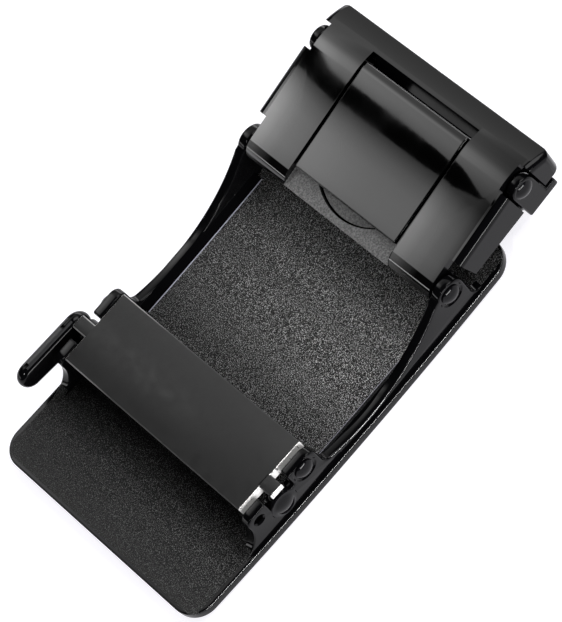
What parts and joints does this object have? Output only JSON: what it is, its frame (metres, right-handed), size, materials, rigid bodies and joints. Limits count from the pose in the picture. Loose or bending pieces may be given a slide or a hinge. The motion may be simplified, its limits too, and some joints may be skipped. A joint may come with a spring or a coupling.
{
  "type": "ratchet belt buckle",
  "caption": "Black ratchet belt buckle for a 35 mm strap, lying on its face, with a sprung pawl and release lever, and a hinged strap clamp with a cam flap.",
  "frame": {"origin": "lowest point of the bowed decorated face, at the middle of the face plate", "axes": "+X along the strap towards the strap clamp, +Y across the strap towards the release lever, +Z from the decorated face up to the back"},
  "size_m": [0.0744, 0.0424, 0.0127],
  "materials": {
    "black_casting": "gloss black plated zinc casting",
    "gunmetal_gloss": "high gloss black",
    "matt_steel": "matt dark grey, bare at the sheared side edges",
    "black_pin": "blackened, domed head"
  },
  "bodies": {
    "buckle": {"body": "black_casting", "stop_pin": "black_pin", "hinge_pin_left": "black_pin", "hinge_pin_right": "black_pin"},
    "pawl": {"pawl_plate": "matt_steel", "pawl_hub": "black_pin", "release_lever": "gunmetal_gloss"},
    "clamp": {"clamp_frame": "gunmetal_gloss", "clamp_bracket": "black_casting", "flap_pin": "black_pin"},
    "flap": {"clamp_flap": "gunmetal_gloss"}
  },
  "joints": [
    {"name": "pawl_hinge", "type": "hinge", "parent": "buckle", "child": "pawl", "pos_m": [-0.012, 0, 0.0044], "axis": [0, -1, 0], "range_deg": [0, 13], "stiffness_Nm_per_rad": 0.003, "springref_deg": -20.05},
    {"name": "clamp_hinge", "type": "hinge", "parent": "buckle", "child": "clamp", "pos_m": [0.02175, 0, 0.00688], "axis": [0, -1, 0], "range_deg": [-6, 80]},
    {"name": "flap_hinge", "type": "hinge", "parent": "clamp", "child": "flap", "pos_m": [0.0376, 0, 0.01024], "axis": [0, 1, 0], "range_deg": [0, 96]}
  ]
}
